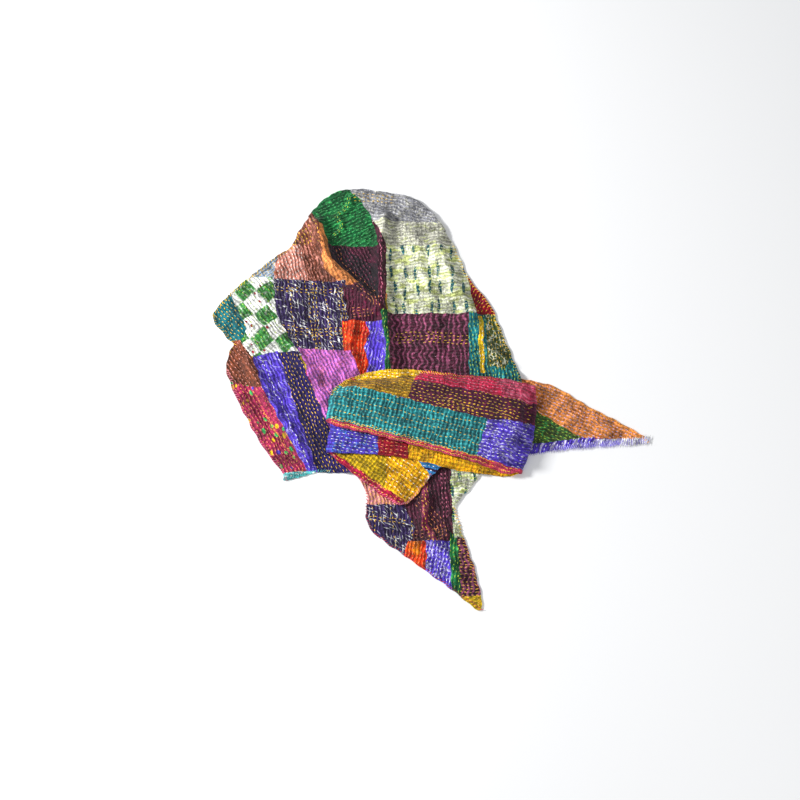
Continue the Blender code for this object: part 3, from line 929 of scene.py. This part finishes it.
def checked_mask(tree, rows):
    """Squares where crossed bands meet, with soft and mottled edges."""
    bands = [ramp(tree, sine(tree, part, CHECK_REPEAT), -0.14, 0.14) for part in split(tree, rows)]
    squares = math_node(tree, "ABSOLUTE", math_node(tree, "SUBTRACT", *bands))
    mottled = ramp(tree, noise(tree, rows, 95.0, 3.0, 0.6), 0.20, 0.50)
    return math_node(tree, "MULTIPLY", squares, mottled)


def crackled_mask(tree, rows):
    """A net of fine light lines."""
    node = tree.nodes.new("ShaderNodeTexVoronoi")
    node.feature = "DISTANCE_TO_EDGE"
    node.inputs["Scale"].default_value = CRACKLE_SCALE
    tree.links.new(rows, node.inputs["Vector"])
    lines = inverse(tree, ramp(tree, node.outputs["Distance"], 0.02, 0.14))
    return math_node(tree, "MULTIPLY", lines, ramp(tree, noise(tree, rows, 60.0, 2.0), 0.40, 0.62))


def marked_mask(tree, rows):
    """Upright marks about four centimetres tall, one to a cell, with broken edges."""
    node = tree.nodes.new("ShaderNodeTexVoronoi")
    node.inputs["Scale"].default_value = 1.0
    node.inputs["Randomness"].default_value = 0.45
    tree.links.new(stretched(tree, rows, MARK_CELLS), node.inputs["Vector"])
    spots = stretched(tree, rows, MARK_CELLS)
    offset = tree.nodes.new("ShaderNodeVectorMath")
    offset.operation = "SUBTRACT"
    tree.links.new(spots, offset.inputs[0])
    tree.links.new(node.outputs["Position"], offset.inputs[1])
    narrow = tree.nodes.new("ShaderNodeVectorMath")
    narrow.operation = "LENGTH"
    tree.links.new(stretched(tree, offset.outputs[0], (2.5, 1.0, 0)), narrow.inputs[0])
    marks = inverse(tree, ramp(tree, narrow.outputs["Value"], 0.28, 0.42))
    return math_node(tree, "MULTIPLY", marks, ramp(tree, noise(tree, rows, 190.0, 2.0), 0.34, 0.46))


def waved_mask(tree, rows):
    """Wavy lines that run across the rows."""
    along, across = split(tree, rows)
    sway = sine(tree, across, SWAY_REPEAT)
    bent = math_node(tree, "MULTIPLY_ADD", sway, 0.0024, along)
    wander = math_node(tree, "MULTIPLY_ADD", noise(tree, rows, 36.0), 0.026, bent)
    lines = ramp(tree, sine(tree, wander, WAVE_REPEAT), 0.0, 0.7)
    broken = ramp(tree, noise(tree, stretched(tree, rows, (90, 45, 1)), 1.0, 2.0), 0.26, 0.48)
    return math_node(tree, "MULTIPLY", lines, broken)


def striped_mask(tree, rows):
    """Even stripes along the rows, with wider gaps."""
    return ramp(tree, sine(tree, split(tree, rows)[1], STRIPE_REPEAT), 0.55, 0.75)


def blots(tree, rows):
    """Cells of about 2.5 by 1.6 centimetres, shared by the blots' shape and their dyes."""
    node = tree.nodes.new("ShaderNodeTexVoronoi")
    node.inputs["Scale"].default_value = 1.0
    node.inputs["Randomness"].default_value = 0.85
    tree.links.new(stretched(tree, rows, BLOT_CELLS), node.inputs["Vector"])
    return node


def blotted_mask(tree, rows):
    """Small oval blots about two centimetres apart."""
    return inverse(tree, ramp(tree, blots(tree, rows).outputs["Distance"], 0.24, 0.32))


def blot_dye(tree, rows):
    """Yellow, blue and green blots, one dye to a cell."""
    choice = split(tree, blots(tree, rows).outputs["Color"])[0]
    node = tree.nodes.new("ShaderNodeValToRGB")
    node.color_ramp.interpolation = "CONSTANT"
    node.color_ramp.elements[0].color = opaque("gold")
    node.color_ramp.elements[1].position = 0.45
    node.color_ramp.elements[1].color = opaque("violet")
    last = node.color_ramp.elements.new(0.72)
    last.color = opaque("leaf")
    tree.links.new(choice, node.inputs[0])
    return node.outputs[0]


def ribbed_mask(tree, rows):
    """Fine ribs across the rows, a little lighter on their crests."""
    along = split(tree, rows)[0]
    bent = math_node(tree, "MULTIPLY_ADD", noise(tree, rows, 60.0), 0.010, along)
    ribs = sine(tree, bent, RIB_REPEAT)
    uneven = math_node(tree, "MULTIPLY_ADD", noise(tree, rows, 130.0), 1.1, 0.15)
    return math_node(tree, "MULTIPLY", ramp(tree, ribs, -0.6, 0.9), uneven)


def plain_mask(tree, rows):
    """Faint wide clouds of the second colour."""
    return math_node(tree, "MULTIPLY", ramp(tree, noise(tree, rows, 30.0, 3.0), 0.50, 0.75), 0.6)


MASKS = {"plain": plain_mask, "brushed": brushed_mask, "dashed": dashed_mask, "checked": checked_mask,
         "crackled": crackled_mask, "marked": marked_mask, "waved": waved_mask, "striped": striped_mask,
         "blotted": blotted_mask, "ribbed": ribbed_mask}


# %% Cloth material
WEAVE_LIFT = 0.08
RIB_LIFT = 0.7
QUILT_DEPTH = 0.0040


def printed(tree, kind, rows, mask, ground, second):
    """The patch's two colours under its mask, with the extra dyes that some prints have."""
    if kind == "blotted":
        second = blot_dye(tree, rows)
    if kind == "marked":
        clouds = ramp(tree, noise(tree, stretched(tree, rows, (30, 75, 1)), 1.0, 3.0), 0.46, 0.62)
        ground = blended(tree, clouds, ground, opaque("straw"))
    if kind == "checked":
        dots = inverse(tree, ramp(tree, blots(tree, rows).outputs["Distance"], 0.17, 0.25))
        ground = blended(tree, dots, ground, opaque("blood"))
    return blended(tree, mask, ground, second)


def cloth_material(kind):
    """Quilted cloth with one print, in the two colours that each patch brings."""
    material, tree, shader = new_material(kind + "_cloth", {
        "Roughness": 0.78, "Sheen Weight": 0.08, "Sheen Roughness": 0.45, "Specular IOR Level": 0.35})
    rows = tree.nodes.new("ShaderNodeUVMap")
    rows.uv_map = "rows"
    place = tree.nodes.new("ShaderNodeTexCoord")
    inks = []
    for name in ("ground", "second"):
        ink = tree.nodes.new("ShaderNodeAttribute")
        ink.attribute_name = name
        inks.append(ink.outputs["Color"])
    quilting = group_node(tree, "quilting", Pitch=ROW_PITCH, Rows=rows.outputs[0])
    weave = group_node(tree, "weave", Count=WEAVE_COUNT, Rows=rows.outputs[0])
    mask = MASKS[kind](tree, rows.outputs[0])
    mix = printed(tree, kind, rows.outputs[0], mask, *inks)
    # The quilting's Valley mask paints shade into the hollows and light onto the ridges of the dye.
    dye = group_node(tree, "mottle_and_valley_shade", Color=mix, Place=place.outputs["Object"],
                     Valley=quilting.outputs["Valley"])
    tree.links.new(dye.outputs["Color"], shader.inputs["Base Color"])
    lifted = math_node(tree, "MULTIPLY_ADD", weave.outputs["Height"], WEAVE_LIFT, quilting.outputs["Height"])
    if kind == "ribbed":
        lifted = math_node(tree, "MULTIPLY_ADD", mask, RIB_LIFT, lifted)
    bump = tree.nodes.new("ShaderNodeBump")
    bump.inputs["Distance"].default_value = QUILT_DEPTH
    bump.inputs["Strength"].default_value = 1.0
    tree.links.new(lifted, bump.inputs["Height"])
    tree.links.new(bump.outputs[0], shader.inputs["Normal"])
    return material


cloth = make_cloth()
print(len(cloth.data.materials), "cloth materials")


# %% Give the cloth its thickness
SHARP_ANGLE = 60


def thicken(piece):
    """Turns the middle surface into a closed cloth of even thickness."""
    bpy.ops.object.select_all(action="DESELECT")
    bpy.context.view_layer.objects.active = piece
    piece.select_set(True)
    bpy.ops.object.mode_set(mode="EDIT")
    bpy.ops.mesh.select_all(action="SELECT")
    bpy.ops.mesh.normals_make_consistent(inside=False)
    bpy.ops.object.mode_set(mode="OBJECT")
    thick = piece.modifiers.new("thickness", "SOLIDIFY")
    thick.thickness = CLOTH
    thick.offset = 0.0
    bpy.ops.object.modifier_apply(modifier="thickness")
    piece.data.shade_smooth()
    piece.data.set_sharp_from_angle(angle=math.radians(SHARP_ANGLE))


thicken(cloth)
cloth.data.calc_loop_triangles()
print("cloth has", len(cloth.data.loop_triangles), "triangles")

# %% [markdown]
# ## Running stitches
# The stitches show from across a room, so they are real threads, each a small spindle that lies
# on the cloth. One spindle's shape is worked out once, and a loop lays it along every row of
# every patch that shows, a little unevenly, as a hand does.

# %% Spindle and rows
STITCH_LENGTH = 0.0072
STITCH_GAP = 0.0046
THREAD_HALF_WIDTH = 0.00085
THREAD_HEIGHT = 0.0009
THREAD_CLEAR = 0.0001
ROW_WANDER = 0.0017
ROW_LEAN = 0.0009
ROW_SHOWS = 0.4
THREAD_SHOWS = 0.6
LINE_STEP = 0.001
TWIST_SCALE = 1800.0
TWIST_DEPTH = 0.0004
EDGE_CLEAR = 0.004
ROWS_BETWEEN = {"ribbed": 2, "dashed": 5, "checked": 2}
SPINDLE_FACES = [(0, 1, 2), (0, 2, 3), (0, 3, 1), (1, 4, 5, 2), (2, 5, 6, 3), (3, 6, 4, 1), (7, 5, 4),
                 (7, 6, 5), (7, 4, 6)]


def spindles(starts, ends, layer):
    """Points of one thread spindle from each start to its end, on the layer's upper side."""
    along = ends - starts
    across = np.column_stack([-along[:, 1], along[:, 0]])
    across /= np.linalg.norm(across, axis=1)[:, None]
    spots = []
    for share, side, lift in [(0, 0, 0.0), (0.25, -1, 0.0), (0.25, 0, 1.0), (0.25, 1, 0.0), (0.75, -1, 0.0),
                              (0.75, 0, 1.0), (0.75, 1, 0.0), (1, 0, 0.0)]:
        plan = starts + share * along + side * THREAD_HALF_WIDTH * across
        level = surface(plan, layer) + CLOTH / 2 + THREAD_CLEAR + lift * THREAD_HEIGHT
        spots.append(np.column_stack([plan, level]))
    return np.stack(spots, axis=1)


def row_stitches(number):
    """Start and end of each stitch in one patch."""
    layer, _, _, _, _, kind, turn = ALL_PATCHES[number]
    outline = OUTLINES[number]
    way, side = ways(turn)
    spans = outline @ way
    widths = outline @ side
    starts = []
    ends = []
    first_row = math.ceil(widths.min() / ROW_PITCH - 0.5)
    every = ROWS_BETWEEN.get(kind, 1)
    for row in range(first_row, math.floor(widths.max() / ROW_PITCH) + 1):
        if row % every:
            continue
        level = (row + 0.5) * ROW_PITCH
        at = spans.min() + random.random() * STITCH_LENGTH
        while at < spans.max():
            length = STITCH_LENGTH * random.uniform(0.8, 1.15)
            lean = random.uniform(-ROW_LEAN, ROW_LEAN)
            sway = ROW_WANDER * (math.sin(at * 55 + row * 0.9) + 0.6 * math.sin(at * 140 + row * 2.3)) + lean
            starts.append(way * at + side * (level + sway))
            ends.append(way * (at + length) + side * (level + sway - lean))
            at += length + STITCH_GAP * random.uniform(0.8, 1.2)
    starts = np.array(starts)
    ends = np.array(ends)
    middles = (starts + ends) / 2
    keep = inside(middles, outline) & inside(starts, coarse_rims[layer]) & inside(ends, coarse_rims[layer])
    starts, ends, middles = starts[keep], ends[keep], middles[keep]
    keep = (patch_at(middles, layer) == number) & (showing(middles, layer) > ROW_SHOWS)
    keep &= distance(middles, coarse_rims[layer], closed=True) > EDGE_CLEAR
    return starts[keep], ends[keep]


# %% All the stitches as one joined mesh
def thread_mesh(name, spots, inks):
    """One mesh of many spindles, with each one's colour on its corners."""
    count = len(spots)
    flat = spots.reshape(-1, 3)
    moved = np.column_stack([warped(flat[:, :2]) + shift, flat[:, 2]])
    made = []
    for i in range(count):
        made.extend(tuple(8 * i + v for v in face) for face in SPINDLE_FACES)
    mesh = bpy.data.meshes.new(name)
    mesh.from_pydata([tuple(p) for p in moved], [], made)
    corners = sum(len(face) for face in SPINDLE_FACES)
    paint(mesh, "thread", np.repeat(inks, corners, axis=0))
    mesh.shade_smooth()
    return linked(name, mesh)


def thread_material():
    """Cotton thread: its own colour, soft gloss and a fine twist."""
    material, tree, shader = new_material("cotton_thread", {"Roughness": 0.55, "Sheen Weight": 0.25})
    ink = tree.nodes.new("ShaderNodeAttribute")
    ink.attribute_name = "thread"
    place = tree.nodes.new("ShaderNodeTexCoord")
    dye = group_node(tree, "mottle_and_valley_shade", Color=ink.outputs["Color"], Place=place.outputs["Object"])
    tree.links.new(dye.outputs["Color"], shader.inputs["Base Color"])
    twist = noise(tree, place.outputs["Object"], TWIST_SCALE, 1.0)
    bump = tree.nodes.new("ShaderNodeBump")
    bump.inputs["Distance"].default_value = TWIST_DEPTH
    tree.links.new(twist, bump.inputs["Height"])
    tree.links.new(bump.outputs[0], shader.inputs["Normal"])
    return material


# Rows that follow a fold: layer, thread, number of rows, the gap between them and the first row
CURVED_ROWS = [
    ("upper", "orange", 4, 0.0085, [(-20.8, 31.0), (-16.4, 28.4), (-12.9, 25.3),
                                   (-12.7, 22.4), (-15.0, 20.8), (-20.6, 20.2)]),
    ("upper", "pink", 2, 0.0075, [(-12.7, 43.5), (-11.7, 38.0), (-11.5, 30.0), (-11.4, 22.5)]),
    ("upper", "lime", 2, 0.0060, [(-20.2, 52.0), (-21.0, 49.0), (-23.4, 46.6), (-22.0, 44.2), (-24.6, 41.0)]),
    ("upper", "orange", 2, 0.0080, [(-27.6, 43.5), (-26.6, 38.5), (-24.6, 33.8), (-20.6, 30.0)]),
    ("back", "orange", 4, 0.0090, [(-5.6, -18.5), (-2.0, -25.0), (2.4, -31.0),
                                  (4.0, -34.0), (2.6, -36.2), (-4.6, -36.9)]),
    ("back", "pink", 2, 0.0090, [(3.4, -17.0), (3.8, -24.0), (4.2, -31.0)]),
    ("upper", "gold", 2, 0.0080, [(-28.8, 29.5), (-28.2, 20.0), (-27.5, 11.5)]),
    ("upper", "gold", 2, 0.0080, [(-22.4, 28.8), (-21.6, 20.0), (-21.0, 12.2)]),
    ("upper", "gold", 2, 0.0085, [(-38.6, 28.4), (-30.0, 27.6), (-22.0, 27.8)]),
    ("upper", "gold", 3, 0.0085, [(-37.0, 18.4), (-30.0, 17.2), (-20.8, 17.8)]),
    ("back", "gold", 2, 0.0085, [(-15.0, -30.5), (-10.0, -31.0), (-4.8, -31.6)]),
    ("top", "gold", 3, 0.0100, [(2.0, -1.2), (14.0, -3.8), (21.0, -5.6)]),
    ("upper", "orange", 2, 0.0080, [(-22.8, 38.4), (-21.8, 34.5), (-17.6, 30.6), (-13.4, 26.6)]),
    ("upper", "gold", 3, 0.0090, [(-19.4, 53.0), (-14.0, 52.9), (-8.0, 52.2)]),
]


def curved_stitches(row, gap):
    """Start and end of each stitch on a line."""
    line = curve(row, LINE_STEP)
    step = round((STITCH_LENGTH + gap) / LINE_STEP)
    reach = round(STITCH_LENGTH / LINE_STEP)
    firsts = np.arange(0, len(line) - reach - 1, step)
    return line[firsts], line[firsts + reach]


def add_threads(store, starts, ends, layer, ink):
    """Adds one spindle from each start to its end, and its colour."""
    store.append((spindles(starts, ends, layer), np.tile(np.array(opaque(ink)), (len(starts), 1))))


def joined(name, store):
    """All the stored threads as one piece."""
    spots = np.concatenate([part[0] for part in store])
    inks = np.concatenate([part[1] for part in store])
    piece = thread_mesh(name, spots, inks)
    piece.data.materials.append(thread)
    print(name, "holds", len(spots), "threads")
    return piece


thread = thread_material()
sewn = []
for layer, ink, count, gap, row in CURVED_ROWS:
    for k in range(count):
        starts, ends = curved_stitches(row, STITCH_GAP)
        along = (ends - starts) / np.linalg.norm(ends - starts, axis=1)[:, None]
        aside = np.column_stack([along[:, 1], -along[:, 0]]) * gap * k
        starts, ends = starts + aside, ends + aside
        keep = (showing(starts, layer) > THREAD_SHOWS) & inside(starts, coarse_rims[layer])
        add_threads(sewn, starts[keep], ends[keep], layer, ink)
for number in range(NAMED_FROM, len(ALL_PATCHES)):
    starts, ends = row_stitches(number)
    if len(starts):
        add_threads(sewn, starts, ends, ALL_PATCHES[number][0], ALL_PATCHES[number][4])
stitches = joined("running_stitches", sewn)

# %% [markdown]
# ## Hem threads
# The edges are overcast by hand: a slanting thread goes round the hem every few millimetres, and
# the right corner's hem shows long loose ones. They are the same spindle, laid across the rim.
# Some hems also carry a zigzag thread a little way in.

# %% Overcast hems
# Layer, run, thread, spacing, reach into the cloth, and reach past its rim
HEM_RUNS = [
    ("back", BACK_EDGE[9:13], "lavender", 0.0042, 0.015, 0.0085),
    ("back", BACK_EDGE[9:11], "white", 0.0060, 0.018, 0.0100),
    ("back", BACK_EDGE[10:14], "violet", 0.0048, 0.013, 0.0060),
    ("back", BACK_EDGE[6:10], "amber", 0.0080, 0.007, 0.0012),
    ("back", BACK_EDGE[16:20], "amber", 0.0085, 0.007, 0.0012),
    ("back", BACK_EDGE[19:25], "rose", 0.0075, 0.007, 0.0012),
    ("upper", UPPER_HEM[6:12], "pink", 0.0070, 0.008, 0.0012),
    ("upper", UPPER_HEM[4:7], "sea", 0.0060, 0.009, 0.0014),
    ("upper", UPPER_HEM[12:22], "gold", 0.0085, 0.007, 0.0012),
    ("upper", UPPER_RIGHT, "gold", 0.0085, 0.007, 0.0012),
    ("third", THIRD_HEM[2:], "pink", 0.0065, 0.008, 0.0012),
    ("top", TOP_BACK, "gold", 0.0060, 0.009, 0.0014),
    ("top", TOP_HEM[1:], "coral", 0.0060, 0.008, 0.0012),
]
HEM_SLANT = 0.004

# Zigzag threads: layer, run, thread, and distance in from the rim
SCALLOPS = [("top", TOP_HEM[1:], "gold", 0.0130), ("top", TOP_HEM[1:], "gold", 0.0040),
            ("third", THIRD_HEM[3:], "gold", 0.0120), ("upper", UPPER_HEM[7:11], "amber", 0.0450),
            ("top", TOP_BACK[1:5], "amber", 0.0120)]
SCALLOP_STEP = 0.0065
SCALLOP_DEPTH = 0.0028


def rim_ways(line, layer):
    """Level directions along a line at the rim, and from it into the layer."""
    along = np.gradient(line, axis=0)
    along /= np.linalg.norm(along, axis=1)[:, None]
    across = np.column_stack([along[:, 1], -along[:, 0]])
    middle = len(line) // 2
    probe = line[middle:middle + 1] + across[middle:middle + 1] * FINE
    return along, across if inside(probe, coarse_rims[layer])[0] else -across


bound = []
for layer, run, ink, pitch, depth, past in HEM_RUNS:
    line = curve(run, pitch)
    along, inward = rim_ways(line, layer)
    jitter = np.array([[random.uniform(0.7, 1.1)] for _ in line])
    slants = np.array([[random.uniform(0.3, 1.7)] for _ in line])
    starts = line + inward * depth * jitter - along * HEM_SLANT * slants
    ends = line - inward * past * jitter + along * HEM_SLANT * (slants - 0.6)
    keep = showing(line, layer) > THREAD_SHOWS
    add_threads(bound, starts[keep], ends[keep], layer, ink)
for layer, run, ink, in_from_rim in SCALLOPS:
    line = curve(run, SCALLOP_STEP)
    inward = rim_ways(line, layer)[1]
    zigzag = in_from_rim + SCALLOP_DEPTH * (np.arange(len(line)) % 2)
    line = line + inward * zigzag[:, None]
    starts, ends = line[:-1], line[1:]
    keep = (showing(starts, layer) > THREAD_SHOWS) & inside(starts, coarse_rims[layer])
    keep &= inside(ends, coarse_rims[layer])
    add_threads(bound, starts[keep], ends[keep], layer, ink)
hem = joined("hem_threads", bound)

# %% [markdown]
# ## Floor, light and camera
# The throw lies on a plain pale floor, under a strong low light from the left and a larger,
# weaker one from the front right. The camera looks down on it, so that its outline reads as a
# plan.

# %% Stage
PALE = (0.93, 0.93, 0.93, 1.0)
FLOOR_SIZE = 14
FLOOR_DROP = 0.0004
SKY = (0.95, 0.97, 1.0, 1.0)
SKY_STRENGTH = 0.46
# Name, place, watts and width in metres
LIGHTS = [("key", (-3.0, 0.7, 1.9), 165, 0.7), ("fill", (2.0, -2.0, 2.8), 30, 2.4)]


def make_floor():
    bpy.ops.object.select_all(action="DESELECT")
    bpy.ops.mesh.primitive_plane_add(size=FLOOR_SIZE, location=(0, 0, -FLOOR_DROP))
    floor = bpy.context.object
    floor.name = "floor"
    floor.data.materials.append(new_material("pale_floor", {"Base Color": PALE, "Roughness": 0.9})[0])
    return floor


def area_light(name, place, power, size):
    light = bpy.data.lights.new(name, "AREA")
    light.energy = power
    light.size = size
    holder = linked(name, light)
    holder.location = place
    holder.rotation_euler = (-Vector(place)).to_track_quat("-Z", "Y").to_euler()


floor = make_floor()
for light in LIGHTS:
    area_light(*light)
world = bpy.data.worlds.new("studio")
bpy.context.scene.world = world
world.use_nodes = True
sky = world.node_tree.nodes["Background"]
sky.inputs["Color"].default_value = SKY
sky.inputs["Strength"].default_value = SKY_STRENGTH
bpy.context.scene.view_settings.view_transform = "Standard"

# %% Camera
SENSOR = 36.0
FRAME_WIDTH = 2.0
CAMERA_AWAY = 6.0
CAMERA_RISE = 76
FRAME_CENTRE = (-7.5 * CM + shift[0], -0.8 * CM + shift[1], 0.0)


def make_camera():
    data = bpy.data.cameras.new("camera")
    data.sensor_width = SENSOR
    data.lens = SENSOR * CAMERA_AWAY / FRAME_WIDTH
    camera = linked("camera", data)
    rise = math.radians(CAMERA_RISE)
    target = Vector(FRAME_CENTRE)
    camera.location = target + CAMERA_AWAY * Vector((0, -math.cos(rise), math.sin(rise)))
    camera.rotation_euler = (target - camera.location).to_track_quat("-Z", "Y").to_euler()
    bpy.context.scene.camera = camera


make_camera()

# %% Tie everything to the frame
for piece in (cloth, stitches, hem):
    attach(piece, "root")
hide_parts("quilted_throw")
